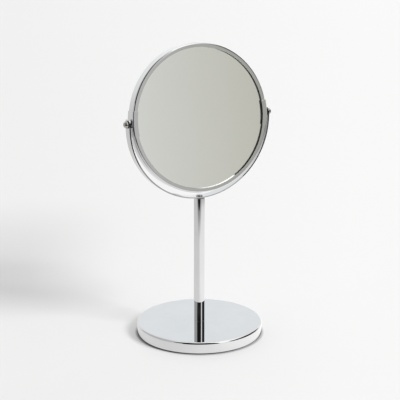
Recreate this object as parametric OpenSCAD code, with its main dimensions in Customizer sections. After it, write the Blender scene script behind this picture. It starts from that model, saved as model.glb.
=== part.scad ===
// Round magnifying mirror on a stand: a weighted disc base, a tube post, a
// flat-strip yoke and a two-sided mirror head that tilts on two pivots.
// Millimetres. +Z up, the mirror faces -Y, and the origin is the centre of
// the base's underside.

/* [Base] */
// Diameter of the base disc
base_d = 150; // [130:1:180]
// Height of the base disc's top face above the floor
base_h = 14.5; // [12.5:0.1:18]
// Radius of the rolled edge round the base's top
base_edge_r = 2.7; // [1.5:0.1:3.2]
// Sheet thickness of the base shell
base_wall = 0.8; // [0.6:0.1:1.2]
// Thickness of the foam pad under the base
pad_t = 2; // [1.5:0.1:2.4]
// Gap between the floor and the shell's lower edge
base_gap = 1.2; // [0.6:0.1:1.3]

/* [Post] */
// Outside diameter of the post
post_d = 13; // [12:0.5:16]
// Wall thickness of the post
post_wall = 1; // [0.8:0.1:1.2]
// Height of the tilt axis above the floor
pivot_h = 261.7; // [240:0.1:330]

/* [Yoke] */
// Gap between the head's rim and a yoke arm
yoke_gap = 2.6; // [2:0.05:6]
// Thickness of the yoke strip
yoke_t = 1.5; // [1.2:0.1:2]
// Width of the yoke strip
yoke_w = 10.8; // [10:0.1:16]
// How far the yoke's bend is centred below the tilt axis
yoke_drop = 4.05; // [2:0.05:8]
// Height of an arm's end above the tilt axis
yoke_end_h = 5.6; // [5:0.1:8]
// Corner radius of an arm's end
yoke_end_r = 2.4; // [1.5:0.1:4]

/* [Head] */
// Outside diameter of the mirror head
head_d = 172.3; // [150:0.1:190]
// Thickness of the head over its two lips
head_t = 12.8; // [12.6:0.1:15]
// Width of the rim's front lip
lip_w = 5.1; // [4:0.05:7]
// Radius of the rim's front corner
rim_edge_r = 1.7; // [1:0.1:2.2]
// Depth of the glass below the lip
recess = 1.1; // [1:0.1:1.6]
// Angle that the head looks up by at rest
tilt = 6.4; // [0:0.1:20]
// Thickness of the flat glass
plain_t = 2; // [1.8:0.1:2.6]
// Thickness of the concave glass
magnifier_t = 2; // [1.8:0.1:2.2]
// Radius of curvature of the concave glass
magnifier_r = 900; // [800:10:1400]

/* [Pivots] */
// Length of a pivot clip round the rim, in degrees
clip_angle = 19.8; // [16:0.1:26]
// Sheet thickness of a pivot clip
clip_t = 0.7; // [0.6:0.1:0.8]
// Outside radius of a pivot clip's front bend
clip_bend = 1.55; // [1.2:0.05:1.8]
// Diameter of the pivot stud
stud_d = 4; // [3.6:0.1:4.2]
// Diameter of the knob's collar
knob_d = 8.4; // [8:0.1:10]
// Length of the knob
knob_l = 4.5; // [4.5:0.05:6]

/* [Hidden] */
$fn = 120;

e = 0.01;            // overcut
fit = 0.05;          // radial clearance of a running fit
rb = base_d / 2;
rp = post_d / 2;
ro = head_d / 2;
ht = head_t / 2;
rim_t = 0.8;         // sheet thickness of the rim
rl = ro - lip_w;     // inner edge of the lip
rc = ro - rim_edge_r; // where the front corner's rounding starts
yri = ro + yoke_gap; // inside of a yoke arm, from the middle plane
yro = yri + yoke_t;
yoke_bottom = pivot_h - yoke_drop - yro;   // underside of the strip
glass_z = ht - recess;                     // outer face of a glass
stud_r = stud_d / 2;

// bolt stack under the base
bolt_r = 2.5;
bolt_head_h = 3.2;
bolt_z = pad_t + 1.4;                      // underside of the bolt's head
bsw_z = bolt_z + bolt_head_h;
bw_z = bsw_z + 1.2;
bore_top = bw_z + 1;
weight_z = pad_t + 0.8;

// stack along a pivot, as distances from the middle plane
clip_ro = ro + clip_t;
sw_x = clip_ro + 0.05;
fw_x = sw_x + 0.65;
ow_x = yro + 0.05;
knob_x = ow_x + 0.53;

// concave glass: the centre of curvature lies behind the head
function sag(r, R) = R - sqrt(R * R - r * r);
mag_c = -glass_z + sag(rl + 0.8, magnifier_r) - magnifier_r + 0.03;
core_r = ro - 3;

// 2D ring slice: a rectangle in the (radius, height) half plane
module slab(r0, r1, z0, z1) {
    translate([r0, z0]) square([r1 - r0, z1 - z0]);
}

// 2D plate with half-round ends along its length
module round_slab(r0, r1, z0, z1) {
    t = (z1 - z0) / 2;
    slab(r0 + t, r1 - t, z0, z1);
    for (r = [r0 + t, r1 - t]) translate([r, z0 + t]) circle(r = t, $fn = 32);
}

// A flat ring on +Z
module ring(r_out, r_in, h) {
    difference() {
        cylinder(r = r_out, h = h);
        translate([0, 0, -e]) cylinder(r = r_in, h = h + 2 * e);
    }
}

// A split ring on +Z, with the gap on +X
module split_ring(r_out, r_in, h, gap) {
    difference() {
        ring(r_out, r_in, h);
        translate([0, -gap / 2, -e]) cube([r_out + 1, gap, h + 2 * e]);
    }
}

// The head's own frame: X along the tilt axis, Y up, Z out of the front
module in_head() {
    translate([0, 0, pivot_h]) rotate([90 - tilt, 0, 0]) children();
}

// Along a pivot: side 1 is +X, side -1 is -X, +Z of the child points outwards
module on_pivot(side) {
    in_head() rotate([0, side * 90, 0]) children();
}

// ---- stand ----

module base_cover() {
    color("gainsboro") difference() {
        rotate_extrude($fn = 180) {
            // top plate and the rolled edge
            slab(0, rb - base_edge_r, base_h - base_wall, base_h);
            difference() {
                translate([rb - base_edge_r, base_h - base_edge_r]) circle(r = base_edge_r, $fn = 64);
                translate([rb - base_edge_r, base_h - base_edge_r]) circle(r = base_edge_r - base_wall, $fn = 64);
                slab(rb - 4 * base_edge_r, rb - base_edge_r, base_h - 3 * base_edge_r, base_h + 1);
                slab(rb - 4 * base_edge_r, rb + 1, base_h - 3 * base_edge_r, base_h - base_edge_r);
            }
            // side wall
            slab(rb - base_wall, rb, base_gap + 0.5, base_h - base_edge_r);
            // lower edge, turned in under the bottom plate
            slab(rb - base_wall, rb - 0.5, base_gap, base_gap + base_wall);
            intersection() {
                translate([rb - 0.5, base_gap + 0.5]) circle(r = 0.5, $fn = 48);
                slab(rb - 0.5, rb, base_gap, base_gap + 0.5);
            }
            slab(rb - 2.6, rb - base_wall, base_gap, base_gap + base_wall);
        }
        translate([0, 0, base_h - 3]) cylinder(r = bolt_r + 0.25, h = 5);
    }
}

module base_weight() {
    color("dimgray") difference() {
        translate([0, 0, weight_z]) cylinder(r = rb - max(2, base_edge_r - 0.3), h = base_h - base_wall - 0.1 - weight_z, $fn = 180);
        translate([0, 0, weight_z - e]) cylinder(r = 8, h = bore_top - weight_z + e);
        cylinder(r = bolt_r + 0.25, h = base_h);
    }
}

module base_plate() {
    color("silver") translate([0, 0, pad_t])
        ring(rb - 1.1, 9, 0.8, $fn = 180);
}

module base_pad() {
    color("#26272a") cylinder(r = rb - 2.9, h = pad_t, $fn = 180);
}

module base_bolt() {
    color("silver") difference() {
        union() {
            translate([0, 0, bolt_z]) cylinder(r = 4.6, h = bolt_head_h);
            translate([0, 0, bolt_z + e]) cylinder(r = bolt_r, h = 26 - e);
        }
        // hexagon socket
        translate([0, 0, bolt_z - e]) cylinder(r = 2, h = 2, $fn = 6);
    }
}

module base_spring_washer() {
    color("lightgray") translate([0, 0, bsw_z]) split_ring(4.4, bolt_r + 0.1, 1.2, 0.8);
}

module base_washer() {
    color("lightgray") translate([0, 0, bw_z]) ring(6, bolt_r + 0.15, 1);
}

module post_tube() {
    color("gainsboro") translate([0, 0, base_h])
        ring(rp, rp - post_wall, yoke_bottom - 0.5 - base_h);
}

module post_lower_insert() {
    color("darkkhaki") translate([0, 0, base_h])
        ring(rp - post_wall - 0.02, bolt_r + 0.02, 22);
}

module post_upper_insert() {
    // the yoke rests on a narrower boss at the insert's top
    color("darkkhaki") translate([0, 0, yoke_bottom - 20]) {
        ring(rp - post_wall - 0.02, 2.02, 19);
        ring(4.2, 2.02, 20);
    }
}

module yoke() {
    color("gainsboro") translate([0, 0, pivot_h]) difference() {
        intersection() {
            rotate([90, 0, 0]) linear_extrude(height = yoke_w, center = true) {
                // bend
                intersection() {
                    translate([0, -yoke_drop]) difference() {
                        circle(r = yro, $fn = 240);
                        circle(r = yri, $fn = 240);
                    }
                    translate([-yro - 1, -yoke_drop - yro - 1]) square([2 * yro + 2, yro + 1]);
                }
                // arms
                for (s = [-1, 1]) translate([s * (yri + yro) / 2 - yoke_t / 2, -yoke_drop])
                    square([yoke_t, yoke_drop + yoke_end_h + 1]);
            }
            union() {
                translate([-yro - 2, -yoke_w, -yro - yoke_drop - 2])
                    cube([2 * yro + 4, 2 * yoke_w, yro + yoke_drop + 2]);
                // arm ends
                hull() for (y = [-1, 1], z = [-yoke_end_r, yoke_end_h - yoke_end_r])
                    translate([0, y * (yoke_w / 2 - yoke_end_r), z]) rotate([0, 90, 0])
                        cylinder(r = yoke_end_r, h = 2 * yro + 4, center = true, $fn = 72);
            }
        }
        // pivot holes
        rotate([0, 90, 0]) cylinder(r = stud_r + fit, h = 2 * yro + 4, center = true);
        // screw hole at the lowest point
        translate([0, 0, -yoke_drop - yro - 1]) cylinder(r = 2.15, h = 8);
    }
}

module yoke_washer() {
    color("lightgray") translate([0, 0, yoke_bottom + yoke_t + 0.12])
        ring(4.1, 2.1, 0.7);
}

module yoke_screw() {
    zh = yoke_bottom + yoke_t + 0.12 + 0.7;
    color("silver") difference() {
        union() {
            rotate_extrude() {
                // low head with a rounded edge
                slab(0, 3.1, zh, zh + 1);
                slab(0, 3.5, zh, zh + 0.6);
                intersection() {
                    translate([3.1, zh + 0.6]) circle(r = 0.4, $fn = 48);
                    slab(3.1, 3.5, zh + 0.6, zh + 1);
                }
            }
            translate([0, 0, zh - 15]) cylinder(r = 2, h = 15 + e);
        }
        // cross recess
        for (a = [0, 90]) rotate([0, 0, a]) translate([-2, -0.45, zh + 0.4]) cube([4, 0.9, 2]);
    }
}

// ---- head ----

// Front lip, seen in the (radius, height) half plane: its crisp inner edge is
// turned down beside the flat glass
module front_lip(r_in, r_out) {
    k = 0.15;
    slab(r_in + k, r_out, ht - rim_t, ht);
    slab(r_in, r_in + rim_t, glass_z - plain_t + 0.05, ht - k);
    translate([r_in + k, ht - k]) circle(r = k, $fn = 32);
}

// Rear lip, with its edge turned in onto the concave glass
module rear_lip(r_in, r_out) {
    round_slab(r_in, r_out, -ht, -ht + rim_t);
    slab(r_in, r_in + rim_t, -ht + rim_t / 2, -glass_z);
}

// Quarter ring in the (radius, height) half plane, bulging out and forwards
module quarter(cx, cz, r_in, r_out) {
    intersection() {
        translate([cx, cz]) difference() {
            circle(r = r_out, $fn = 96);
            circle(r = r_in, $fn = 96);
        }
        slab(cx, cx + r_out + 1, cz, cz + r_out + 1);
    }
}

module front_rim() {
    color("gainsboro") in_head() difference() {
        rotate_extrude($fn = 240) {
            // the lip and its outer corner
            front_lip(rl, rc);
            quarter(rc, ht - rim_edge_r, rim_edge_r - rim_t, rim_edge_r);
            // side wall
            slab(ro - rim_t, ro, -ht + rim_t / 2, ht - rim_edge_r);
            translate([ro - rim_t / 2, -ht + rim_t / 2]) circle(r = rim_t / 2, $fn = 32);
        }
        // holes for the flanges of the pivot studs
        rotate([0, 90, 0]) cylinder(r = 3.3, h = head_d + 10, center = true);
    }
}

module rear_rim() {
    color("gainsboro") in_head() rotate_extrude($fn = 240) {
        rear_lip(rl, ro - rim_t - 0.05);
        slab(ro - 2 * rim_t - 0.05, ro - rim_t - 0.05, -ht + rim_t / 2, -ht + 2.4);
    }
}

module plain_glass() {
    color("lightcyan") in_head() translate([0, 0, glass_z - plain_t])
        cylinder(r = rl - fit, h = plain_t, $fn = 240);
}

module magnifying_glass() {
    color("lightcyan") in_head() rotate_extrude($fn = 240) difference() {
        intersection() {
            translate([0, mag_c]) circle(r = magnifier_r + magnifier_t, $fn = 1440);
            slab(0, ro - 2, -ht, ht);
        }
        translate([0, mag_c]) circle(r = magnifier_r, $fn = 1440);
    }
}

// Moulded spacer: its rear face follows the concave glass in short cones,
// and a ring-shaped seat on each face holds a foam ring
module core_disc() {
    n = 18;
    r1 = core_r - 12;
    r2 = core_r - 4;
    function dish(r, gap) = mag_c + sqrt(pow(magnifier_r + magnifier_t + gap, 2) - r * r);
    front = glass_z - plain_t;
    color("ivory") in_head() rotate_extrude($fn = 240) polygon(concat(
        [[0, front], [0, dish(0, 0.05)]],
        [for (i = [1 : n]) [r1 * i / n, dish(r1 * i / n, 0.05)]],
        [[r1, dish(r1, 0.8)], [r2, dish(r2, 0.8)], [r2, dish(r2, 0.05)]],
        [[core_r, dish(core_r, 0.05)], [core_r, front]],
        [[r2, front], [r2, front - 0.75], [r1, front - 0.75], [r1, front]]));
}

module front_gasket() {
    color("gray") in_head() translate([0, 0, glass_z - plain_t - 0.7])
        ring(core_r - 4, core_r - 12, 0.7, $fn = 180);
}

module rear_gasket() {
    color("gray") in_head() rotate_extrude($fn = 180) intersection() {
        difference() {
            translate([0, mag_c]) circle(r = magnifier_r + magnifier_t + 0.7, $fn = 1440);
            translate([0, mag_c]) circle(r = magnifier_r + magnifier_t, $fn = 1440);
        }
        slab(core_r - 12, core_r - 4, -ht, ht);
    }
}

module pivot_clip(side) {
    color("gainsboro") in_head() difference() {
        rotate([0, 0, (side > 0 ? 0 : 180) - clip_angle / 2])
            rotate_extrude(angle = clip_angle, $fn = 240) {
                slab(ro + 0.02, clip_ro, -ht, ht + clip_t - clip_bend);
                // front arm, bent over the rim's corner
                quarter(clip_ro - clip_bend, ht + clip_t - clip_bend, clip_bend - clip_t + 0.02, clip_bend);
                slab(rl - 0.65, clip_ro - clip_bend, ht + 0.02, ht + clip_t);
                // rear arm
                slab(rl - 0.65, ro, -ht - clip_t, -ht - 0.02);
                intersection() {
                    translate([ro, -ht]) circle(r = clip_t, $fn = 48);
                    slab(ro, clip_ro, -ht - clip_t, -ht);
                }
            }
        rotate([0, side * 90, 0]) cylinder(r = stud_r + fit, h = head_d);
    }
}

// Flanged stud: the flange lies in the rim's hole, behind the clip
module pivot_stud(side) {
    color("silver") on_pivot(side) {
        translate([0, 0, ro - rim_t]) cylinder(r = 3.2, h = rim_t - 0.1);
        translate([0, 0, ro - rim_t / 2]) cylinder(r = stud_r, h = knob_x + 3 - ro + rim_t / 2);
    }
}

module spring_washer(side) {
    color("lightgray") on_pivot(side) translate([0, 0, sw_x])
        split_ring(3.8, stud_r + 0.1, 0.6, 0.6);
}

module friction_washer(side) {
    color("#1d1e20") on_pivot(side) translate([0, 0, fw_x])
        ring(4.3, stud_r + fit, yri - 0.05 - fw_x);
}

module outer_washer(side) {
    color("#1d1e20") on_pivot(side) translate([0, 0, ow_x])
        ring(4.3, stud_r + fit, 0.5);
}

module pivot_knob(side) {
    dome = knob_d / 2 - 0.3;
    color("gainsboro") on_pivot(side) translate([0, 0, knob_x]) difference() {
        rotate_extrude($fn = 96) {
            // collar with rounded edges
            slab(0, knob_d / 2 - 0.4, 0, 1.6);
            slab(0, knob_d / 2, 0.4, 1.2);
            for (z = [0.4, 1.2]) translate([knob_d / 2 - 0.4, z]) circle(r = 0.4, $fn = 32);
            // groove
            slab(0, knob_d / 2 - 0.9, 1, 2.1);
            // dome
            intersection() {
                translate([0, knob_l - dome]) circle(r = dome, $fn = 96);
                slab(0, dome, 2, knob_l + 1);
            }
        }
        translate([0, 0, -e]) cylinder(r = stud_r + 0.02, h = 3.2);
    }
}

module pivot_clip_left() { pivot_clip(-1); }
module pivot_clip_right() { pivot_clip(1); }
module pivot_stud_left() { pivot_stud(-1); }
module pivot_stud_right() { pivot_stud(1); }
module spring_washer_left() { spring_washer(-1); }
module spring_washer_right() { spring_washer(1); }
module friction_washer_left() { friction_washer(-1); }
module friction_washer_right() { friction_washer(1); }
module outer_washer_left() { outer_washer(-1); }
module outer_washer_right() { outer_washer(1); }
module pivot_knob_left() { pivot_knob(-1); }
module pivot_knob_right() { pivot_knob(1); }

base_cover();
base_weight();
base_plate();
base_pad();
base_bolt();
base_washer();
base_spring_washer();
post_tube();
post_lower_insert();
post_upper_insert();
yoke();
yoke_screw();
yoke_washer();
front_rim();
rear_rim();
plain_glass();
magnifying_glass();
core_disc();
front_gasket();
rear_gasket();
pivot_clip_left();
pivot_clip_right();
pivot_stud_left();
pivot_stud_right();
spring_washer_left();
spring_washer_right();
friction_washer_left();
friction_washer_right();
outer_washer_left();
outer_washer_right();
pivot_knob_left();
pivot_knob_right();
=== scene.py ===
"""Looks for the round two-sided mirror on a stand: disc base, tube post,
flat-strip yoke, tilting head. Metres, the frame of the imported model."""

import math

import bpy
import bmesh
import numpy as np
from mathutils import Matrix, Vector
from mathutils.geometry import delaunay_2d_cdt, tessellate_polygon


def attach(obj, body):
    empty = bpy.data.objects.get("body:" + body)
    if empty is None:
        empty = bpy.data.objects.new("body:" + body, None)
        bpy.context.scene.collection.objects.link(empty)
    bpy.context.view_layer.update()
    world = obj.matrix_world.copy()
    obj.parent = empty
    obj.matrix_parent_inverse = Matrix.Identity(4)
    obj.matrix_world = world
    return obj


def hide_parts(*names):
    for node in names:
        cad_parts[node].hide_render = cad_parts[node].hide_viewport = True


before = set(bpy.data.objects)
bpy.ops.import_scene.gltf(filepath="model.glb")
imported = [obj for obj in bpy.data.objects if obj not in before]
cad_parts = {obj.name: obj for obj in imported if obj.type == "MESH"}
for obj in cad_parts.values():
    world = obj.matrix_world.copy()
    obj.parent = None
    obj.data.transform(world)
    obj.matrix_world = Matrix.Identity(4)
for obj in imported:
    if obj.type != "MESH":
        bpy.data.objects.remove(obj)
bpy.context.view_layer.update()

rad = math.radians

# ---------------------------------------------------------------- camera
PSI = rad(27.284)          # the camera stands this far to the object's left
C_DIR = Vector((-math.sin(PSI), -math.cos(PSI), 0.0))   # object to camera
R_DIR = Vector((math.cos(PSI), -math.sin(PSI), 0.0))    # to the image's right

cam_data = bpy.data.cameras.new("camera")
cam_data.sensor_width = 36.0
cam_data.lens = 36.0 * 1133.0 / 400.0
cam_data.clip_start = 0.05
cam_data.clip_end = 60.0
cam = bpy.data.objects.new("camera", cam_data)
bpy.context.scene.collection.objects.link(cam)
cam.location = C_DIR * 1.2853 + Vector((0.0, 0.0, 0.5060))
cam.rotation_euler = (rad(90.0 - 14.910), 0.0, -(PSI + rad(0.0340)))
bpy.context.scene.camera = cam
bpy.context.scene.view_settings.view_transform = "Standard"

# ---------------------------------------------------------------- sizes, mm
BASE_R, BASE_H, BASE_EDGE, BASE_WALL = 75.0, 14.5, 2.7, 0.8
PAD_T, BASE_GAP = 2.0, 1.2
POST_R, POST_IN = 6.5, 5.5
PIVOT_H, YOKE_IN, YOKE_T, YOKE_W, YOKE_DROP = 261.7, 88.75, 1.5, 10.8, 4.05
YOKE_OUT = YOKE_IN + YOKE_T
YOKE_LOW = PIVOT_H - YOKE_DROP - YOKE_OUT
YOKE_END_H, YOKE_END_R = 5.6, 2.4
RIM_R, HALF_T, RIM_T, LIP_R, GLASS_Z = 86.15, 6.4, 0.8, 81.05, 5.3
RIM_EDGE = 1.7
PLAIN_T, MAG_T, MAG_R = 2.0, 2.0, 900.0
MAG_C = -GLASS_Z + (MAG_R - math.sqrt(MAG_R ** 2 - (LIP_R + 0.8) ** 2)) - MAG_R + 0.03
STUD_R = 2.0

HEAD = Matrix.Translation((0, 0, PIVOT_H)) @ Matrix.Rotation(rad(90 - 6.4), 4, "X")


def pivot(side):
    """Along a pivot: local z points outwards."""
    return HEAD @ Matrix.Rotation(side * rad(90), 4, "Y")


# ---------------------------------------------------------------- node kit
class Tree:
    """Small helper to write node trees."""

    def __init__(self, tree):
        self.t = tree
        tree.nodes.clear()

    def node(self, kind, _in=None, **props):
        n = self.t.nodes.new(kind)
        for k, v in props.items():
            setattr(n, k, v)
        for k, v in (_in or {}).items():
            self.feed(n.inputs[k], v)
        return n

    def feed(self, socket, v):
        if isinstance(v, bpy.types.NodeSocket):
            self.t.links.new(v, socket)
        elif isinstance(v, bpy.types.Node):
            self.t.links.new(v.outputs[0], socket)
        else:
            socket.default_value = v

    def math(self, op, a, b=0.0, c=None, clamp=False):
        n = self.t.nodes.new("ShaderNodeMath")
        n.operation = op
        n.use_clamp = clamp
        self.feed(n.inputs[0], a)
        if op not in ("ARCSINE", "ABSOLUTE", "SINE", "SQRT"):
            self.feed(n.inputs[1], b)
        if c is not None:
            self.feed(n.inputs[2], c)
        return n.outputs[0]

    def remap(self, x, lo, hi, a=0.0, b=1.0, smooth=False):
        n = self.t.nodes.new("ShaderNodeMapRange")
        n.interpolation_type = "SMOOTHSTEP" if smooth else "LINEAR"
        self.feed(n.inputs["Value"], x)
        for k, v in (("From Min", lo), ("From Max", hi), ("To Min", a), ("To Max", b)):
            self.feed(n.inputs[k], v)
        return n.outputs["Result"]

    def mix(self, f, a, b):
        n = self.t.nodes.new("ShaderNodeMix")
        n.data_type = "RGBA"
        self.feed(n.inputs["Factor"], f)
        self.feed(n.inputs[6], a)
        self.feed(n.inputs[7], b)
        return n.outputs[2]

    def noise(self, co, scale, detail=3.0, rough=0.5, distort=0.0):
        return self.node("ShaderNodeTexNoise", {"Vector": co, "Scale": scale, "Detail": detail,
                                                "Roughness": rough, "Distortion": distort}).outputs["Fac"]

    def ramp(self, x, stops):
        n = self.node("ShaderNodeValToRGB", {"Fac": x})
        el = n.color_ramp.elements
        while len(el) < len(stops):
            el.new(0.5)
        for e, (p, c) in zip(el, stops):
            e.position = p
            e.color = (*c, 1.0) if len(c) == 3 else c
        return n.outputs["Color"]


def material(name):
    m = bpy.data.materials.new(name)
    m.use_nodes = True
    t = Tree(m.node_tree)
    out = t.node("ShaderNodeOutputMaterial")
    p = t.node("ShaderNodeBsdfPrincipled")
    t.t.links.new(p.outputs[0], out.inputs["Surface"])
    co = t.node("ShaderNodeTexCoord").outputs["Object"]
    return m, t, p, co


def bump(t, p, height, strength, distance, under=None):
    n = t.node("ShaderNodeBump", {"Height": height, "Strength": strength, "Distance": distance})
    if under is not None:
        t.feed(n.inputs["Normal"], under)
    t.feed(p.inputs["Normal"], n.outputs[0])
    return n.outputs[0]


def polished(name, low, high, r_lo, r_hi, ripple=1.0):
    """Bright plated steel: two close tints, a faint handling haze, hairline
    polishing marks and a very slight ripple of the sheet."""
    m, t, p, co = material(name)
    haze = t.noise(co, 34.0, 4.0, 0.55, 0.4)
    fine = t.noise(co, 1300.0, 2.0, 0.6)
    stretch = t.node("ShaderNodeMapping", {"Vector": co, "Scale": (260.0, 260.0, 9000.0)})
    lines = t.noise(stretch.outputs[0], 1.0, 2.0, 0.5)
    t.feed(p.inputs["Base Color"], t.ramp(haze, [(0.30, low), (0.72, high)]))
    mixed = t.math("ADD", t.math("MULTIPLY", haze, 0.6), t.math("MULTIPLY", fine, 0.25))
    mixed = t.math("ADD", mixed, t.math("MULTIPLY", lines, 0.15))
    t.feed(p.inputs["Roughness"], t.remap(mixed, 0.33, 0.68, r_lo, r_hi))
    p.inputs["Metallic"].default_value = 1.0
    broad = t.noise(co, 26.0, 1.0, 0.4)
    bump(t, p, t.math("ADD", broad, t.math("MULTIPLY", fine, 0.004)), 0.05 * ripple, 0.0002)
    return m


CHROME = polished("chrome", (0.598, 0.602, 0.604), (0.628, 0.632, 0.634), 0.012, 0.045)
CHROME_RIM = polished("chrome_rim", (0.605, 0.612, 0.610), (0.642, 0.650, 0.647), 0.018, 0.06, 0.8)
CHROME_SCREW = polished("chrome_screw", (0.560, 0.560, 0.555), (0.615, 0.615, 0.610), 0.03, 0.10, 0.5)
CHROME_SMALL = polished("chrome_small", (0.400, 0.390, 0.370), (0.480, 0.470, 0.450), 0.03, 0.10, 0.5)


def zinc():
    m, t, p, co = material("zinc_steel")
    cell = t.node("ShaderNodeTexVoronoi", {"Vector": co, "Scale": 700.0}).outputs["Color"]
    tone = t.node("ShaderNodeSeparateColor", {"Color": cell}).outputs[0]
    cloud = t.noise(co, 160.0, 4.0)
    f = t.math("ADD", t.math("MULTIPLY", tone, 0.4), t.math("MULTIPLY", cloud, 0.6))
    t.feed(p.inputs["Base Color"], t.ramp(f, [(0.2, (0.42, 0.44, 0.46)), (0.8, (0.60, 0.61, 0.60))]))
    t.feed(p.inputs["Roughness"], t.remap(f, 0.1, 0.9, 0.22, 0.42))
    p.inputs["Metallic"].default_value = 1.0
    bump(t, p, t.noise(co, 2500.0, 3.0), 0.12, 0.0001)
    return m


def brass():
    m, t, p, co = material("brass_insert")
    band = t.node("ShaderNodeTexWave", {"Vector": co, "Scale": 900.0, "Distortion": 1.5, "Detail": 2.0},
                  bands_direction="Z").outputs["Fac"]
    t.feed(p.inputs["Base Color"], t.ramp(t.noise(co, 220.0), [(0.3, (0.30, 0.23, 0.12)), (0.7, (0.42, 0.33, 0.18))]))
    t.feed(p.inputs["Roughness"], t.remap(band, 0.0, 1.0, 0.22, 0.36))
    p.inputs["Metallic"].default_value = 1.0
    bump(t, p, band, 0.15, 0.00005)
    return m


def matte(name, dark, light, scale, r_lo, r_hi, grain, depth, spec=0.5):
    m, t, p, co = material(name)
    cloud = t.noise(co, scale, 5.0, 0.6)
    fine = t.noise(co, grain, 4.0, 0.65)
    f = t.math("ADD", t.math("MULTIPLY", cloud, 0.6), t.math("MULTIPLY", fine, 0.4))
    t.feed(p.inputs["Base Color"], t.ramp(f, [(0.3, dark), (0.7, light)]))
    t.feed(p.inputs["Roughness"], t.remap(fine, 0.3, 0.7, r_lo, r_hi))
    p.inputs["Specular IOR Level"].default_value = spec
    bump(t, p, fine, 0.3, depth)
    return m


def foam(name, dark, light, size):
    m, t, p, co = material(name)
    v = t.node("ShaderNodeTexVoronoi", {"Vector": co, "Scale": 1.0 / size}, feature="F1")
    d = v.outputs["Distance"]
    cloud = t.noise(co, 90.0, 3.0)
    f = t.math("ADD", t.math("MULTIPLY", d, 0.7), t.math("MULTIPLY", cloud, 0.4))
    t.feed(p.inputs["Base Color"], t.ramp(f, [(0.2, dark), (0.85, light)]))
    t.feed(p.inputs["Roughness"], t.remap(cloud, 0.3, 0.7, 0.86, 0.98))
    p.inputs["Specular IOR Level"].default_value = 0.2
    bump(t, p, t.math("MULTIPLY", d, -1.0), 0.6, size * 0.4)
    return m


ZINC = zinc()
BRASS = brass()
BALLAST = matte("ballast", (0.22, 0.215, 0.205), (0.36, 0.35, 0.335), 90.0, 0.8, 0.97, 900.0, 0.0004, 0.3)
PLASTIC = matte("core_plastic", (0.70, 0.68, 0.62), (0.76, 0.745, 0.69), 30.0, 0.38, 0.52, 1500.0, 0.00005)
NYLON = matte("black_nylon", (0.011, 0.011, 0.012), (0.022, 0.022, 0.024), 300.0, 0.34, 0.52, 2600.0, 0.00004)
PAD = foam("pad_foam", (0.008, 0.008, 0.009), (0.035, 0.036, 0.039), 0.0006)
GASKET = foam("gasket_foam", (0.42, 0.42, 0.40), (0.62, 0.62, 0.60), 0.0005)


def float_glass(name, tint):
    """Clear float glass with a slight iron tint and a trace of surface haze."""
    m, t, p, co = material(name)
    haze = t.noise(co, 22.0, 4.0, 0.6)
    t.feed(p.inputs["Base Color"], t.ramp(haze, [(0.3, tint), (0.7, tuple(min(1.0, c + 0.006) for c in tint))]))
    p.inputs["Roughness"].default_value = 0.0
    p.inputs["IOR"].default_value = 1.52
    p.inputs["Transmission Weight"].default_value = 1.0
    return m


def silvering(name, low, high):
    m, t, p, co = material(name)
    cloud = t.noise(co, 14.0, 3.0, 0.5)
    t.feed(p.inputs["Base Color"], t.ramp(cloud, [(0.25, low), (0.75, high)]))
    t.feed(p.inputs["Roughness"], t.remap(t.noise(co, 420.0, 2.0), 0.3, 0.7, 0.0, 0.012))
    p.inputs["Metallic"].default_value = 1.0
    return m


GLASS = float_glass("glass", (0.972, 0.984, 0.968))
SILVER = silvering("silvering", (0.930, 0.936, 0.905), (0.940, 0.946, 0.916))

# ---------------------------------------------------------------- mesh kit


def rounded(points, closed=True, step=9.0):
    """A polyline with its corners rounded. points: (x, y, radius)."""
    out, n = [], len(points)
    for i, (x, y, r) in enumerate(points):
        if r <= 0 or (not closed and i in (0, n - 1)):
            out.append((x, y))
            continue
        P = np.array((x, y), float)
        a = np.array(points[i - 1][:2], float) - P
        b = np.array(points[(i + 1) % n][:2], float) - P
        a /= np.linalg.norm(a)
        b /= np.linalg.norm(b)
        beta = math.acos(max(-1.0, min(1.0, float(a @ b))))
        cut = r / math.tan(beta / 2)
        mid = (a + b) / np.linalg.norm(a + b)
        c = P + mid * r / math.sin(beta / 2)
        v1, v2 = P + a * cut - c, P + b * cut - c
        a1 = math.atan2(v1[1], v1[0])
        d = (math.atan2(v2[1], v2[0]) - a1 + math.pi) % (2 * math.pi) - math.pi
        k = max(3, math.ceil(abs(math.degrees(d)) / step))
        for j in range(k + 1):
            out.append((c[0] + r * math.cos(a1 + d * j / k), c[1] + r * math.sin(a1 + d * j / k)))
    clean = [out[0]]
    for q in out[1:]:
        if math.dist(q, clean[-1]) > 1e-6:
            clean.append(q)
    if closed and math.dist(clean[0], clean[-1]) < 1e-6:
        clean.pop()
    return clean


def side_normals(P, closed, limit=33.0):
    """For each point of a profile, its normal on the segment before it and on
    the segment after it. The two agree unless the corner is sharp."""
    n = len(P)
    nxt = np.roll(P, -1, 0) - P
    length = np.linalg.norm(nxt, axis=1)
    seg = np.stack([nxt[:, 1], -nxt[:, 0]], 1) / np.maximum(length, 1e-12)[:, None]
    before, after = np.zeros_like(P), np.zeros_like(P)
    for i in range(n):
        a, b = seg[i - 1], seg[i]
        la, lb = length[i - 1], length[i]
        if not closed and i == 0:
            a, la = b, lb
        if not closed and i == n - 1:
            b, lb = a, la
        if float(a @ b) < math.cos(rad(limit)):
            before[i], after[i] = a, b
        else:
            m = a * la + b * lb
            before[i] = after[i] = m / np.linalg.norm(m)
    return before, after


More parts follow.
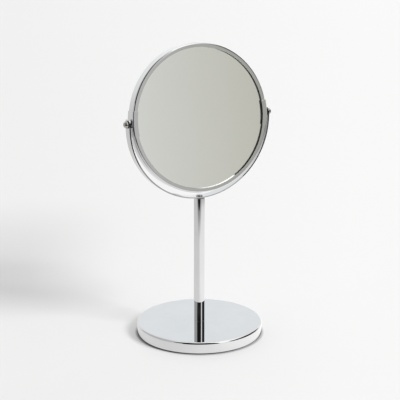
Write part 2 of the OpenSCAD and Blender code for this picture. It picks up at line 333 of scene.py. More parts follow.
def make(name, verts, faces, normals, place, mat):
    """A mesh object from points in mm, with a normal for each face corner."""
    M = np.array(place, float)
    V = (np.asarray(verts, float) @ M[:3, :3].T + M[:3, 3]) * 0.001
    me = bpy.data.meshes.new(name)
    me.from_pydata(V.tolist(), [], faces)
    me.update()
    me.polygons.foreach_set("use_smooth", [True] * len(me.polygons))
    if normals is not None:
        N = np.asarray(normals, float) @ M[:3, :3].T
        N /= np.linalg.norm(N, axis=1)[:, None]
        me.normals_split_custom_set(N.tolist())
    me.materials.append(mat)
    ob = bpy.data.objects.new(name, me)
    bpy.context.scene.collection.objects.link(ob)
    return ob


def orient(P):
    """Counterclockwise copy of a profile, its outline closed along the axis."""
    x, y = P[:, 0], P[:, 1]
    area = float(np.sum(x * np.roll(y, -1) - np.roll(x, -1) * y))
    return P if area > 0 else P[::-1].copy()


def lathe(name, prof, place, mat, segs=192, closed=True):
    """Turns a profile of (radius, z). An open profile starts and ends on the axis."""
    P = orient(np.array(prof, float))
    before, after = side_normals(P, closed)
    n = len(P)
    ang = np.arange(segs) * 2 * math.pi / segs
    ca, sa = np.cos(ang), np.sin(ang)
    verts, index = [], []
    for i in range(n):
        if P[i, 0] < 1e-9:
            index.append([len(verts)] * segs)
            verts.append((0.0, 0.0, P[i, 1]))
        else:
            index.append(list(range(len(verts), len(verts) + segs)))
            verts += [(P[i, 0] * ca[j], P[i, 0] * sa[j], P[i, 1]) for j in range(segs)]
    faces, normals = [], []

    def nrm(v, j):
        return (v[0] * ca[j % segs], v[0] * sa[j % segs], v[1])

    for i in range(n if closed else n - 1):
        k = (i + 1) % n
        lo_pole, hi_pole = P[i, 0] < 1e-9, P[k, 0] < 1e-9
        if lo_pole and hi_pole:
            continue
        for j in range(segs):
            m = (j + 1) % segs
            if lo_pole:
                faces.append((index[i][0], index[k][m], index[k][j]))
                flat = (0.0, after[i][1])
                normals += [nrm(flat, j), nrm(before[k], m), nrm(before[k], j)]
            elif hi_pole:
                faces.append((index[i][j], index[i][m], index[k][0]))
                flat = (0.0, before[k][1])
                normals += [nrm(after[i], j), nrm(after[i], m), nrm(flat, j)]
            else:
                faces.append((index[i][j], index[i][m], index[k][m], index[k][j]))
                normals += [nrm(after[i], j), nrm(after[i], m), nrm(before[k], m), nrm(before[k], j)]
    return make(name, verts, faces, normals, place, mat)


def ring_sweep(name, prof, a0, a1, count, lift, place, mat):
    """A closed profile of (radius, z) swept round part of a turn, with end caps.
    lift(t) raises the section as t goes from 0 to 1."""
    P = orient(np.array(prof, float))
    before, after = side_normals(P, True)
    n = len(P)
    verts, faces, normals = [], [], []
    for j in range(count + 1):
        t = j / count
        a = a0 + (a1 - a0) * t
        dz = lift(t)
        verts += [(x * math.cos(a), x * math.sin(a), z + dz) for x, z in P]

    def nrm(v, j):
        a = a0 + (a1 - a0) * j / count
        return (v[0] * math.cos(a), v[0] * math.sin(a), v[1])

    for j in range(count):
        for i in range(n):
            k = (i + 1) % n
            faces.append((j * n + i, (j + 1) * n + i, (j + 1) * n + k, j * n + k))
            normals += [nrm(after[i], j), nrm(after[i], j + 1), nrm(before[k], j + 1), nrm(before[k], j)]
    tris = tessellate_polygon([[Vector((x, z, 0)) for x, z in P]])
    for j, sign in ((0, -1), (count, 1)):
        a = a0 + (a1 - a0) * j / count
        d = (-math.sin(a) * sign, math.cos(a) * sign, 0.0)
        for tri in tris:
            pts = [P[q] for q in tri]
            turn = (pts[1][0] - pts[0][0]) * (pts[2][1] - pts[0][1]) - (pts[2][0] - pts[0][0]) * (pts[1][1] - pts[0][1])
            order = tri if (turn > 0) == (sign < 0) else tri[::-1]
            faces.append(tuple(j * n + q for q in order))
            normals += [d] * 3
    return make(name, verts, faces, normals, place, mat)


def inside(p, loop):
    x, y = p
    hit = False
    for (x0, y0), (x1, y1) in zip(loop, loop[1:] + loop[:1]):
        if (y0 > y) != (y1 > y) and x < (x1 - x0) * (y - y0) / (y1 - y0) + x0:
            hit = not hit
    return hit


def loop_normals(loop):
    """Normals on the right-hand side of a closed loop."""
    P = np.array(loop, float)
    d = np.roll(P, -1, 0) - P
    d /= np.linalg.norm(d, axis=1)[:, None]
    n = np.stack([d[:, 1], -d[:, 0]], 1)
    m = n + np.roll(n, 1, 0)
    scale = 2.0 / np.maximum(np.sum(m * m, axis=1), 1e-9)
    return m * scale[:, None], m / np.linalg.norm(m, axis=1)[:, None]


def plate(name, outline, holes, grid, thick, edge, bend, place, mat, steps=6):
    """Sheet metal: a flat blank with an outline (counterclockwise), holes
    (clockwise) and rounded edges, then bent. edge is (inset, depth) of the
    rounding. bend(s, w, h) gives the place and the three axes there."""
    ew, eh = edge
    half = thick / 2
    eh = min(eh, half)
    loops = [outline] + list(holes)
    verts, flat_n = [], []
    inset = []
    for loop in loops:
        miter, unit = loop_normals(loop)
        inset.append((np.array(loop, float) - miter * ew, np.array(loop, float), miter, unit))
    # blank, without its edges
    pts, edges = [], []
    for base, _, _, _ in inset:
        s = len(pts)
        pts += [Vector(q) for q in base]
        edges += [(s + i, s + (i + 1) % len(base)) for i in range(len(base))]
    rim = len(pts)
    outer = [tuple(q) for q in inset[0][0]]
    inner = [[tuple(q) for q in e[0]] for e in inset[1:]]
    for g in grid:
        if inside(g, outer) and not any(inside(g, h) for h in inner):
            pts.append(Vector(g))
    co, _, tri, origin, _, _ = delaunay_2d_cdt(pts, edges, [], 1, 1e-7)
    back = [o[0] if o else None for o in origin]
    cells = []
    for f in tri:
        mid = sum((co[v] for v in f), Vector((0, 0))) / len(f)
        if any(inside(tuple(mid), h) for h in inner) or not inside(tuple(mid), outer):
            continue
        q = [back[v] for v in f]
        a, b, c = (pts[v] for v in q)
        turn = (b.x - a.x) * (c.y - a.y) - (c.x - a.x) * (b.y - a.y)
        cells.append(tuple(q) if turn > 0 else tuple(q[::-1]))
    flat = []                       # (s, w, h)
    for top in (1, -1):
        flat += [(p.x, p.y, top * half) for p in pts]
    m = len(pts)
    faces, fn = [], []
    for q in cells:
        faces.append(q)
        fn.append([(0, 0, 1)] * 3)
        faces.append(tuple(m + v for v in q[::-1]))
        fn.append([(0, 0, -1)] * 3)
    # rounded edges and the straight part between them
    start = 0
    for base, full, miter, unit in inset:
        cnt = len(base)
        rows = [list(range(start, start + cnt))]
        rown = [np.tile((0.0, 0.0, 1.0), (cnt, 1))]
        for top in (1, -1):
            ks = range(1, steps + 1) if top > 0 else range(steps, 0, -1)
            for k in ks:
                if top < 0 and k == steps and half - eh < 1e-6:
                    continue
                phi = k / steps * math.pi / 2
                q = full - miter * ew * (1 - math.sin(phi))
                h = top * (half - eh * (1 - math.cos(phi)))
                nn = np.concatenate([unit * math.sin(phi) / ew, np.full((cnt, 1), top * math.cos(phi) / eh)], 1)
                nn /= np.linalg.norm(nn, axis=1)[:, None]
                rows.append(list(range(len(flat), len(flat) + cnt)))
                rown.append(nn)
                flat += [(q[i, 0], q[i, 1], h) for i in range(cnt)]
        rows.append(list(range(m + start, m + start + cnt)))
        rown.append(np.tile((0.0, 0.0, -1.0), (cnt, 1)))
        for r in range(len(rows) - 1):
            u, l = rows[r], rows[r + 1]
            for i in range(cnt):
                k = (i + 1) % cnt
                faces.append((l[i], l[k], u[k], u[i]))
                fn.append([rown[r + 1][i], rown[r + 1][k], rown[r][k], rown[r][i]])
        start += cnt
    placed = [bend(*p) for p in flat]
    verts = [p[0] for p in placed]
    normals = []
    for f, ns in zip(faces, fn):
        for v, nv in zip(f, ns):
            _, es, ew_, eh_ = placed[v]
            normals.append(nv[0] * es + nv[1] * ew_ + nv[2] * eh_)
    return make(name, verts, faces, normals, place, mat)


def circle(cx, cy, r, n, start=0.0, turn=1):
    return [(cx + r * math.cos(start + turn * 2 * math.pi * i / n),
             cy + r * math.sin(start + turn * 2 * math.pi * i / n)) for i in range(n)]


def cut(ob, cutters, angle=32.0):
    """Cuts pieces away for good and shades the result by its face sizes."""
    for c in cutters:
        mod = ob.modifiers.new("cut", "BOOLEAN")
        mod.operation = "DIFFERENCE"
        mod.solver = "EXACT"
        mod.object = c
    dg = bpy.context.evaluated_depsgraph_get()
    new = bpy.data.meshes.new_from_object(ob.evaluated_get(dg))
    ob.modifiers.clear()
    ob.data = new
    for c in cutters:
        bpy.data.objects.remove(c)
    new.polygons.foreach_set("use_smooth", [True] * len(new.polygons))
    new.set_sharp_from_angle(angle=rad(angle))
    wn = ob.modifiers.new("face_weighted", "WEIGHTED_NORMAL")
    wn.keep_sharp = True
    wn.weight = 60
    return ob


def piece(ob, body, slot, *nodes):
    if nodes:
        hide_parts(*nodes)
    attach(ob, body)
    return ob


I4 = Matrix.Identity(4)

# ---------------------------------------------------------------- base
shell = rounded([
    (2.75, BASE_H - BASE_WALL, 0.08),
    (BASE_R - BASE_WALL, BASE_H - BASE_WALL, BASE_EDGE - BASE_WALL),
    (BASE_R - BASE_WALL, BASE_GAP + BASE_WALL, 0.0),
    (BASE_R - 2.6, BASE_GAP + BASE_WALL, 0.15),
    (BASE_R - 2.6, BASE_GAP, 0.15),
    (BASE_R, BASE_GAP, 0.5),
    (BASE_R, BASE_H, BASE_EDGE),
    (2.75, BASE_H, 0.08),
], step=6.0)
base = lathe("base_cover_shell", shell, I4, CHROME, 320)
piece(base, "stand", "chrome", "base_cover")

pad = rounded([(0, 0, 0), (BASE_R - 2.9, 0, 0.5), (BASE_R - 2.9, PAD_T, 0.25), (0, PAD_T, 0)], closed=False)
piece(lathe("base_pad_foam", pad, I4, PAD, 160, closed=False), "stand", "pad_foam", "base_pad")

# ---------------------------------------------------------------- post
POST_TOP = YOKE_LOW - 0.5
tube = rounded([
    (POST_IN, BASE_H, 0.2), (POST_R, BASE_H, 0.28),
    (POST_R, POST_TOP, 0.5), (POST_IN, POST_TOP, 0.2),
])
piece(lathe("post_tube_chrome", tube, I4, CHROME, 128), "stand", "chrome", "post_tube")

# ---------------------------------------------------------------- yoke
YC = PIVOT_H - YOKE_DROP
YM = (YOKE_IN + YOKE_OUT) / 2
S_BEND = YM * math.pi / 2
S_PIV = S_BEND + YOKE_DROP
W_AX = np.array((0.0, -1.0, 0.0))


def yoke_bend(s, w, h):
    side = 1.0 if s >= 0 else -1.0
    if abs(s) <= S_BEND:
        f = s / YM
        eh = np.array((math.sin(f), 0.0, -math.cos(f)))
        es = np.array((math.cos(f), 0.0, math.sin(f)))
        p = np.array((0.0, 0.0, YC)) + eh * (YM + h)
    else:
        eh = np.array((side, 0.0, 0.0))
        es = np.array((0.0, 0.0, side))
        p = np.array((0.0, 0.0, YC + abs(s) - S_BEND)) + eh * (YM + h)
    return p + W_AX * w, es, W_AX, eh


yw = YOKE_W / 2
ns = 150
line = [S_PIV * (1 - 2 * i / ns) for i in range(ns + 1)]


def arm_end(sg):
    """Outline of an arm's end: two rounded corners."""
    c, w0 = S_PIV + YOKE_END_H - YOKE_END_R, yw - YOKE_END_R
    arc = [(c + YOKE_END_R * math.cos(rad(a)), math.copysign(w0, a) + YOKE_END_R * math.sin(rad(a)))
           for a in [*range(-90, 0, 9), -0.001, 0.001, *range(9, 91, 9)]]
    return [(sg * s, sg * w) for s, w in [(S_PIV, -yw)] + arc]


outline = arm_end(1)
outline += [(s, yw) for s in line[:-1]]
outline += arm_end(-1)
outline += [(-s, -yw) for s in line[:-1]]
holes = [circle(S_PIV, 0, STUD_R + 0.05, 40, turn=-1), circle(-S_PIV, 0, STUD_R + 0.05, 40, turn=-1),
         circle(0, 0, 2.15, 40, turn=-1)]
grid = []
for s in line:
    for w in (-4.5, -3.1, -1.55, 0.0, 1.55, 3.1, 4.5):
        if min(math.hypot(s - c, w) for c in (-S_PIV, 0, S_PIV)) > 2.9:
            grid.append((s, w))
for c in (-S_PIV, 0.0, S_PIV):
    grid += circle(c, 0, 2.6, 28)
for sg in (-1, 1):
    grid += [(sg * (S_PIV + r * math.cos(rad(a))), r * math.sin(rad(a)))
             for r, st in ((3.6, 15), (4.5, 12)) for a in range(-84, 85, st)]
yoke = plate("yoke_strip", outline, holes, grid, YOKE_T, (0.16, 0.16), yoke_bend, I4, CHROME, 4)
piece(yoke, "stand", "chrome", "yoke")

# washer and screw inside the yoke, over the post
z_w = YOKE_LOW + YOKE_T + 0.12
z_h = z_w + 0.7
sec = rounded([(2.1, z_w, 0.1), (4.1, z_w, 0.15), (4.1, z_w + 0.7, 0.35), (2.1, z_w + 0.7, 0.12)])
piece(lathe("yoke_washer_ring", sec, I4, CHROME_SCREW, 96), "stand", "chrome_small", "yoke_washer")

head = rounded([
    (0, z_h - 15, 0), (2.0, z_h - 15, 0.5), (2.0, z_h, 0.0),
    (3.5, z_h, 0.12), (3.5, z_h + 1.0, 0.4), (0, z_h + 1.0, 0),
], closed=False)
screw = lathe("yoke_screw_pan", head, I4, CHROME_SCREW, 96, closed=False)


def cross_cutter(z):
    """Tapered cross point."""
    arm, half, deep = 2.0, 0.45, 0.6
    bm = bmesh.new()
    plan = [(half, arm), (half, half), (arm, half), (arm, -half), (half, -half), (half, -arm),
            (-half, -arm), (-half, -half), (-arm, -half), (-arm, half), (-half, half), (-half, arm)]
    rows = []
    for zz, k in ((z + 0.6, 1.06), (z, 1.0), (z - deep, 0.72)):
        rows.append([bm.verts.new((x * k * 0.001, y * k * 0.001, zz * 0.001)) for x, y in plan])
    for lo, hi in zip(rows[1:], rows[:-1]):
        for i in range(12):
            k = (i + 1) % 12
            bm.faces.new((lo[i], lo[k], hi[k], hi[i]))
    bm.faces.new(rows[0])
    bm.faces.new(rows[-1][::-1])
    bmesh.ops.recalc_face_normals(bm, faces=bm.faces)
    me = bpy.data.meshes.new("cross")
    bm.to_mesh(me)
    bm.free()
    ob = bpy.data.objects.new("cross", me)
    bpy.context.scene.collection.objects.link(ob)
    return ob


cut(screw, [cross_cutter(z_h + 1.0)])
piece(screw, "stand", "chrome_small", "yoke_screw")

# ---------------------------------------------------------------- head: rims
front = rounded([
    (LIP_R, GLASS_Z - PLAIN_T + 0.05, 0.05), (LIP_R + RIM_T, GLASS_Z - PLAIN_T + 0.05, 0.05),
    (LIP_R + RIM_T, HALF_T - RIM_T, 0.1),
    (RIM_R - RIM_T, HALF_T - RIM_T, RIM_EDGE - RIM_T), (RIM_R - RIM_T, -HALF_T, 0.39), (RIM_R, -HALF_T, 0.39),
    (RIM_R, HALF_T, RIM_EDGE), (LIP_R, HALF_T, 0.15),
], step=7.5)
piece(lathe("front_rim_ring", front, HEAD, CHROME_RIM, 360), "head", "chrome_rim", "front_rim")

rr = RIM_R - RIM_T - 0.05
rear = rounded([
    (LIP_R, -HALF_T, 0.4), (rr, -HALF_T, 0.4), (rr, -HALF_T + 2.4, 0.1), (rr - RIM_T, -HALF_T + 2.4, 0.1),
    (rr - RIM_T, -HALF_T + RIM_T, 0.3), (LIP_R + RIM_T, -HALF_T + RIM_T, 0.1),
    (LIP_R + RIM_T, -GLASS_Z, 0.05), (LIP_R, -GLASS_Z, 0.05),
], step=7.5)
piece(lathe("rear_rim_ring", rear, HEAD, CHROME_RIM, 360), "head", "chrome_rim", "rear_rim")

# ---------------------------------------------------------------- head: glasses
gz = GLASS_Z - PLAIN_T
pane = rounded([(0, gz + 0.06, 0), (LIP_R - 0.05, gz + 0.06, 0.03), (LIP_R - 0.05, GLASS_Z, 0.06), (0, GLASS_Z, 0)],
               closed=False, step=15)
piece(lathe("plain_glass_pane", pane, HEAD, GLASS, 240, closed=False), "head", "mirror_plain", "plain_glass")
film = rounded([(0, gz, 0), (LIP_R - 0.03, gz, 0.02), (LIP_R - 0.03, gz + 0.09, 0.02), (0, gz + 0.09, 0)], closed=False)
piece(lathe("plain_glass_silvering", film, HEAD, SILVER, 240, closed=False), "head", "mirror_plain")


def arc_points(radius, r_out, n):
    return [(r_out * i / n, MAG_C + math.sqrt(radius ** 2 - (r_out * i / n) ** 2)) for i in range(n + 1)]


def shell_disc(r_in, r_out, edge, n=28):
    """Profile of a curved disc between two spheres of radii r_in < r_out."""
    a = arc_points(r_in, edge, n)
    b = arc_points(r_out, edge, n)
    return a + b[::-1]


bowl = shell_disc(MAG_R, MAG_R + MAG_T - 0.06, RIM_R - 2.0)
piece(lathe("magnifying_glass_pane", bowl, HEAD, GLASS, 240, closed=False), "head", "mirror_magnifying",
      "magnifying_glass")
coat = shell_disc(MAG_R + MAG_T - 0.09, MAG_R + MAG_T, RIM_R - 2.2)
piece(lathe("magnifying_glass_silvering", coat, HEAD, SILVER, 240, closed=False), "head", "mirror_magnifying")

# ---------------------------------------------------------------- pivots
CLIP_T = 0.7
R_WALL = RIM_R + CLIP_T / 2
Z_LIP = HALF_T + CLIP_T / 2
FOLDS = {1: 1.20, -1: 0.40}      # front, rear
MARKS = {}
for sg, fold in FOLDS.items():
    u1 = Z_LIP - fold
    u2 = u1 + fold * math.pi / 2
    MARKS[sg] = (u1, u2, u2 + (R_WALL - fold) - (LIP_R - 0.65))
CLIP_S = rad(19.8 / 2) * R_WALL


def clip_bend(s, u, h):
    """U-shaped section round the rim."""
    v, sg = abs(u), (1 if u >= 0 else -1)
    fold, (u1, u2, _) = FOLDS[sg], MARKS[sg]
    if v <= u1:
        r, z, er, eu = R_WALL + h, v, (1.0, 0.0), (0.0, 1.0)
    elif v <= u2:
        f = (v - u1) / fold
        r, z = R_WALL - fold + (fold + h) * math.cos(f), u1 + (fold + h) * math.sin(f)
        er, eu = (math.cos(f), math.sin(f)), (-math.sin(f), math.cos(f))
    else:
        r, z, er, eu = R_WALL - fold - (v - u2), Z_LIP + h, (0.0, 1.0), (-1.0, 0.0)
    a = s / R_WALL
    out = np.array((math.cos(a), math.sin(a), 0.0))
    p = out * r + np.array((0.0, 0.0, z * sg))
    es = np.array((-math.sin(a), math.cos(a), 0.0))
    e_h = out * er[0] + np.array((0.0, 0.0, er[1] * sg))
    e_u = (out * eu[0] + np.array((0.0, 0.0, eu[1] * sg))) * sg
    return p, es, e_u, e_h


corner = 0.35


def clip_stations(sg):
    """Places along the strip from the middle of the wall to the end of the lip."""
    u1, u2, u3 = MARKS[sg]
    n = round(u1 / 1.3)
    out = [u1 * i / n for i in range(1, n)]
    out += [u1 + (u2 - u1) * i / 10 for i in range(11)]
    out += [u3 - corner - (u3 - u2 - 1.4) * (4 - i) / 4 for i in range(5)]
    return [sg * u for u in out]


us = clip_stations(-1)[::-1] + [0.0] + clip_stations(1)
U_LO, U_HI = -MARKS[-1][2], MARKS[1][2]
sides = [u for u in us if U_LO + corner + 0.05 < u < U_HI - corner - 0.05]
ss = [-CLIP_S + corner + i * (2 * CLIP_S - 2 * corner) / 22 for i in range(23)]


def clip_outline():
    out = []
    quarter = [rad(a) for a in range(0, 91, 15)]

    def turn(s, u, start):
        return [(s + corner * math.cos(a + start), u + corner * math.sin(a + start)) for a in quarter]

    out += turn(CLIP_S - corner, U_LO + corner, -math.pi / 2)
    out += [(CLIP_S, u) for u in sides]
    out += turn(CLIP_S - corner, U_HI - corner, 0.0)
    out += [(s, U_HI) for s in ss[-2:0:-1]]
    out += turn(-CLIP_S + corner, U_HI - corner, math.pi / 2)
    out += [(-CLIP_S, u) for u in sides[::-1]]
    out += turn(-CLIP_S + corner, U_LO + corner, math.pi)
    out += [(s, U_LO) for s in ss[1:-1]]
    return out


clip_grid = [(s, u) for s in ss for u in us if math.hypot(s, u) > 2.9] + circle(0, 0, 2.6, 32)
for side, tag in ((-1, "left"), (1, "right")):
    turn = HEAD if side > 0 else HEAD @ Matrix.Rotation(math.pi, 4, "Z")
    clip = plate(f"pivot_clip_{tag}_sheet", clip_outline(), [circle(0, 0, STUD_R + 0.05, 40, turn=-1)], clip_grid,
                 CLIP_T, (0.15, 0.15), clip_bend, turn, CHROME_RIM, 5)
    piece(clip, "head", "chrome_rim", f"pivot_clip_{tag}")

    at = pivot(side)
    sw = RIM_R + CLIP_T + 0.05
    sec = rounded([(2.1, sw + 0.03, 0.08), (3.8, sw + 0.03, 0.1), (3.8, sw + 0.57, 0.1), (2.1, sw + 0.57, 0.08)])
    piece(ring_sweep(f"spring_washer_{tag}_split", sec, rad(5), rad(355), 84, lambda t: 0.06 * (t - 0.5), at, ZINC),
          "head", "zinc_steel", f"spring_washer_{tag}")

    fw = sw + 0.65
    fw1 = YOKE_IN - 0.05
    sec = rounded([(STUD_R + 0.05, fw, 0.1), (4.3, fw, 0.25), (4.3, fw1, 0.25), (STUD_R + 0.05, fw1, 0.1)])
    piece(lathe(f"friction_washer_{tag}_ring", sec, at, NYLON, 96), "head", "black_nylon", f"friction_washer_{tag}")

    ow = YOKE_OUT + 0.05
    sec = rounded([(STUD_R + 0.05, ow, 0.08), (4.3, ow, 0.15), (4.3, ow + 0.5, 0.15), (STUD_R + 0.05, ow + 0.5, 0.08)])
    piece(lathe(f"outer_washer_{tag}_ring", sec, at, NYLON, 96), "head", "black_nylon", f"outer_washer_{tag}")

    k = ow + 0.53
    dome = 3.9
    zc = 4.5 - dome
    zg = 2.1
    rg = math.sqrt(dome ** 2 - (zg - zc) ** 2)
    body = rounded([(0, 3.2, 0), (2.02, 3.2, 0.05), (2.02, 0, 0.1), (4.2, 0, 0.4), (4.2, 1.6, 0.4),
                    (3.3, 1.6, 0.18), (3.3, zg, 0.12)], closed=False)
    body = body[:-1] + [(3.3, zg - 0.02)]
    a0 = math.acos((zg - zc) / dome)
    ball = [(dome * math.sin(a0 * (1 - i / 30)), zc + dome * math.cos(a0 * (1 - i / 30))) for i in range(31)]
    ball[-1] = (0.0, zc + dome)
    ball[0] = (ball[0][0] - 0.05, zg)
    prof = [(r, z + k) for r, z in body + ball]
    piece(lathe(f"pivot_knob_{tag}_dome", prof, at, CHROME_SMALL, 128, closed=False), "head", "chrome_small",
          f"pivot_knob_{tag}")

# ---------------------------------------------------------------- CAD nodes that stay
for names, mat in (
    (("base_weight",), BALLAST),
    (("base_plate", "base_bolt", "base_washer", "base_spring_washer", "pivot_stud_left", "pivot_stud_right"), ZINC),
    (("post_lower_insert", "post_upper_insert"), BRASS),
    (("core_disc",), PLASTIC),
    (("front_gasket", "rear_gasket"), GASKET),
):
    for nm in names:
        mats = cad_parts[nm].data.materials
        if len(mats):
            for i in range(len(mats)):
                mats[i] = mat
        else:
            mats.append(mat)

# ---------------------------------------------------------------- floor


def sheet_object(name, corners, z, mat):
    me = bpy.data.meshes.new(name)
    me.from_pydata([(x, y, z) for x, y in corners], [], [tuple(range(len(corners)))])
    me.update()
    me.materials.append(mat)
    ob = bpy.data.objects.new(name, me)
    bpy.context.scene.collection.objects.link(ob)
    return ob


def floor_material(name, value, glow):
    """Matt pale sheet. Part of its brightness is painted light, a glow of its own,
    so that the shade under the object stays as light as on a lit white sweep."""
    m, t, p, co = material(name)
    cloud = t.noise(co, 1.3, 2.0)
    t.feed(p.inputs["Base Color"], t.ramp(cloud, [(0.3, tuple(v * 0.995 for v in value)), (0.7, value)]))
    p.inputs["Roughness"].default_value = 0.9
    p.inputs["Specular IOR Level"].default_value = 0.1
    p.inputs["Emission Color"].default_value = (*glow, 1.0)
    p.inputs["Emission Strength"].default_value = 1.0
    return m, t, p, co


FLOOR_SEEN, st, sp, sco = floor_material("floor", (0.45, 0.45, 0.45), (1.0, 1.0, 1.0))
FLOOR_TABLE, ft, fp, fco = floor_material("table", (0.15, 0.15, 0.15), (1.0, 0.998, 0.99))


def floor_axes(t, co):
    """Ground coordinates to the right and to the front, and the distance from
    the post. The last one is a painted contact shade: 0 under the base and 1 just outside its edge, so the painted glow
    ends at the base."""
    xyz = t.node("ShaderNodeSeparateXYZ", {"Vector": t.node("ShaderNodeMapping", {
        "Vector": co, "Rotation": (0.0, 0.0, PSI)}).outputs[0]}).outputs
    right, front = xyz[0], t.math("MULTIPLY", xyz[1], -1.0)
    far = t.math("SQRT", t.math("ADD", t.math("MULTIPLY", right, right), t.math("MULTIPLY", front, front)))
    return right, front, far, t.remap(far, 0.0748, 0.0772, 0.0, 1.0, True)


# painted light: the seen floor's own glow is a little lighter towards the right
to_right, to_front, reach, contact_shade_mask = floor_axes(st, sco)
slant = st.math("DIVIDE", to_right, st.math("MAXIMUM", st.math("SUBTRACT", 1.285, to_front), 0.3))
slant = st.math("MULTIPLY", slant, st.remap(to_front, 0.25, 0.80, 1.0, 0.0, True))
tone = st.remap(slant, -0.16, 0.14, 0.246, 0.314)
# painted shade: a faint soft shade at the back left, taken off the seen floor's own glow
shade = st.math("MULTIPLY", st.remap(to_right, -0.27, -0.09, 0.12, 0.0, True), st.remap(to_front, -0.26, -0.15, 1.0, 0.0, True))
shade = st.math("MULTIPLY", shade, st.remap(to_front, -0.66, -0.30, 0.0, 1.0, True))
tone = st.math("SUBTRACT", tone, st.math("MULTIPLY", shade, st.remap(to_right, -0.60, -0.30, 0.0, 1.0, True)))
# painted shade: the seen floor's glow fades out a few mm round the base, a painted contact shadow
contact_shade_mask = st.math("MINIMUM", contact_shade_mask, st.remap(reach, 0.0752, 0.0786, 0.0, 1.0, True))
st.feed(sp.inputs["Emission Strength"], st.math("MULTIPLY", tone, contact_shade_mask))
# painted light: the table's glow is lighter on the right and falls off towards its edges
to_right, to_front, reach, contact_shade_mask = floor_axes(ft, fco)
glow = ft.remap(to_right, -0.06, 0.10, 0.78, 1.11, True)
glow = ft.math("MULTIPLY", glow, ft.remap(reach, 0.09, 0.14, 1.06, 1.0))
glow = ft.math("MULTIPLY", glow, ft.remap(reach, 0.15, 0.50, 0.98, 0.84))
glow = ft.math("MULTIPLY", glow, ft.remap(reach, 0.50, 0.62, 1.0, 0.92, True))
glow = ft.math("MULTIPLY", glow, ft.remap(to_front, 0.36, 0.56, 1.0, 0.25, True))
# painted shade in the table's glow: darker at the back left near the object, and far off towards the right
around = ft.math("MULTIPLY", ft.math("ARCTAN2", to_right, to_front), 180 / math.pi)
rear = ft.remap(around, -152.0, -136.0, ft.remap(reach, 0.16, 0.30, 0.45, 1.0, True), 1.0, True)
glow = ft.math("MULTIPLY", glow, rear)
side = ft.remap(around, 36.0, 46.0, 1.0, ft.remap(reach, 0.56, 0.66, 1.0, 0.50, True), True)
glow = ft.math("MULTIPLY", glow, side)
# painted shade: the table's glow fades out just round the base, a painted contact shadow that the base's lower edge
# mirrors
contact_shade_mask = ft.math("MINIMUM", contact_shade_mask, ft.remap(reach, 0.0768, 0.0800, 0.0, 1.0, True))
ft.feed(fp.inputs["Emission Strength"], ft.math("MULTIPLY", glow, contact_shade_mask))
seen = sheet_object("floor", [(-14, -14), (14, -14), (14, 14), (-14, 14)], 0.0, FLOOR_SEEN)
seen.visible_diffuse = seen.visible_glossy = seen.visible_transmission = seen.visible_shadow = False
# what the plated parts mirror: a table top lit by a painted glow, with a straight
# front edge and a right-hand edge further off


def across(a, d):
    """Edge line at distance d in the direction a."""
    n = C_DIR * math.cos(rad(a)) + R_DIR * math.sin(rad(a))
    return n, d


def meet(e, g):
    (n1, d1), (n2, d2) = e, g
    det = n1.x * n2.y - n1.y * n2.x
    return ((d1 * n2.y - d2 * n1.y) / det, (n1.x * d2 - n2.x * d1) / det)


TABLE_EDGES = [across(-4.0, 0.560), across(75.0, 0.779), across(176.0, 12.0), across(-95.0, 12.0)]
table_corners = [meet(TABLE_EDGES[i], TABLE_EDGES[(i + 1) % 4]) for i in range(4)]
table = sheet_object("table_top", table_corners, -0.0004, FLOOR_TABLE)
table.visible_camera = False
table.visible_diffuse = False

# ---------------------------------------------------------------- light
key_data = bpy.data.lights.new("key", "SUN")
key_data.energy = 2.9
key_data.angle = rad(20)
key_data.color = (1.0, 0.995, 0.985)
key = bpy.data.objects.new("key", key_data)
bpy.context.scene.collection.objects.link(key)
KEY_A, KEY_E = rad(60), rad(38.5)
to_key = (C_DIR * math.cos(KEY_A) + R_DIR * math.sin(KEY_A)) * math.cos(KEY_E) + Vector((0, 0, math.sin(KEY_E)))
key.rotation_mode = "QUATERNION"
key.rotation_quaternion = to_key.to_track_quat("Z", "Y")
key.location = to_key * 3.0
key.visible_glossy = False
key.visible_transmission = False

# ---------------------------------------------------------------- studio
world = bpy.data.worlds.new("studio")
bpy.context.scene.world = world
world.use_nodes = True
w = Tree(world.node_tree)
w_out = w.node("ShaderNodeOutputWorld")
w_bg = w.node("ShaderNodeBackground")
w.t.links.new(w_bg.outputs[0], w_out.inputs["Surface"])
gen = w.node("ShaderNodeTexCoord").outputs["Generated"]


def dot(v):
    n = w.node("ShaderNodeVectorMath", operation="DOT_PRODUCT")
    w.feed(n.inputs[0], gen)
    n.inputs[1].default_value = tuple(v)
    return n.outputs["Value"]


az = w.math("ARCTAN2", dot(R_DIR), dot(C_DIR))
az = w.math("MULTIPLY", az, 180 / math.pi)
el = w.math("ARCSINE", dot((0, 0, 1)))
el = w.math("MULTIPLY", el, 180 / math.pi)


def window(x, lo, hi, soft_lo, soft_hi=None):
    soft_hi = soft_lo if soft_hi is None else soft_hi
    up = w.remap(x, lo - soft_lo / 2, lo + soft_lo / 2, 0.0, 1.0, True)
    down = w.remap(x, hi - soft_hi / 2, hi + soft_hi / 2, 1.0, 0.0, True)
    return w.math("MULTIPLY", up, down)


def both(a, b):
    return w.math("MULTIPLY", a, b)


col = (0.97, 0.97, 0.97, 1.0)
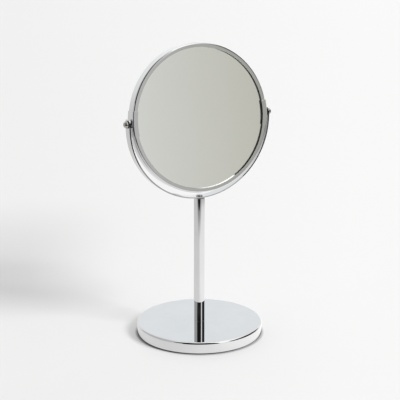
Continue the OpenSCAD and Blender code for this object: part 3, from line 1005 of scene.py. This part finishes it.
# cooler wall behind the object
col = w.mix(both(w.remap(w.math("ABSOLUTE", az), 128.0, 150.0, 0.0, 1.0, True), window(el, 2, 62, 8, 20)),
            col, (1.10, 1.11, 1.12, 1.0))
col = w.mix(both(w.remap(w.math("ABSOLUTE", az), 160.0, 170.0, 0.0, 1.0, True), window(el, 17.5, 27, 3, 3)),
            col, (1.075, 1.115, 1.15, 1.0))
# left of the camera: faintly grey
col = w.mix(both(window(az, -128, -50, 14, 4), window(el, -4, 60, 6, 20)), col, (0.69, 0.69, 0.70, 1.0))
# overhead light and the lit wall on the right
col = w.mix(w.remap(el, 64.0, 76.0, 0.0, 1.0, True), col, (1.7, 1.7, 1.69, 1.0))
col = w.mix(both(window(az, 26, 146, 8, 20), w.remap(el, 5.0, 12.0, 0.0, 1.0, True)), col, (1.55, 1.55, 1.54, 1.0))
# strip near the horizon that the plain glass shows
strip = w.remap(az, 51.0, 58.5, 0.0, 1.0, False)
strip_col = w.mix(strip, (0.674, 0.670, 0.665, 1.0), (0.524, 0.511, 0.465, 1.0))
col = w.mix(both(window(az, 32, 100, 3, 10), window(el, -7, 9, 2, 4)), col, strip_col)
# dark walls of the room
d1 = w.math("MAXIMUM", both(window(az, -50, 36, 5, 3), window(el, 19, 75, 4, 6)),
            both(window(az, -30, 36, 5, 3), window(el, -6, 22, 4, 4)))
d1 = w.math("MAXIMUM", d1, both(window(az, -46, 5, 5, 5), window(el, -14, 2, 3, 4)))
d2 = w.math("MAXIMUM", both(window(az, 58, 136, 5, 10), window(el, 9, 38, 4, 8)),
            both(window(az, 80, 127, 6, 10), window(el, 3, 45, 3, 6)))
col = w.mix(d1, col, (0.022, 0.022, 0.022, 1.0))
col = w.mix(d2, col, (0.030, 0.030, 0.030, 1.0))
# under the table's front edge
col = w.mix(w.remap(el, -9.0, -6.5, 1.0, 0.0, True), col, (0.02, 0.02, 0.02, 1.0))
# a plain pale room for the camera itself
lp = w.node("ShaderNodeLightPath").outputs["Is Camera Ray"]
col = w.mix(lp, col, (0.90, 0.90, 0.895, 1.0))
w.feed(w_bg.inputs["Color"], col)
w_bg.inputs["Strength"].default_value = 1.0
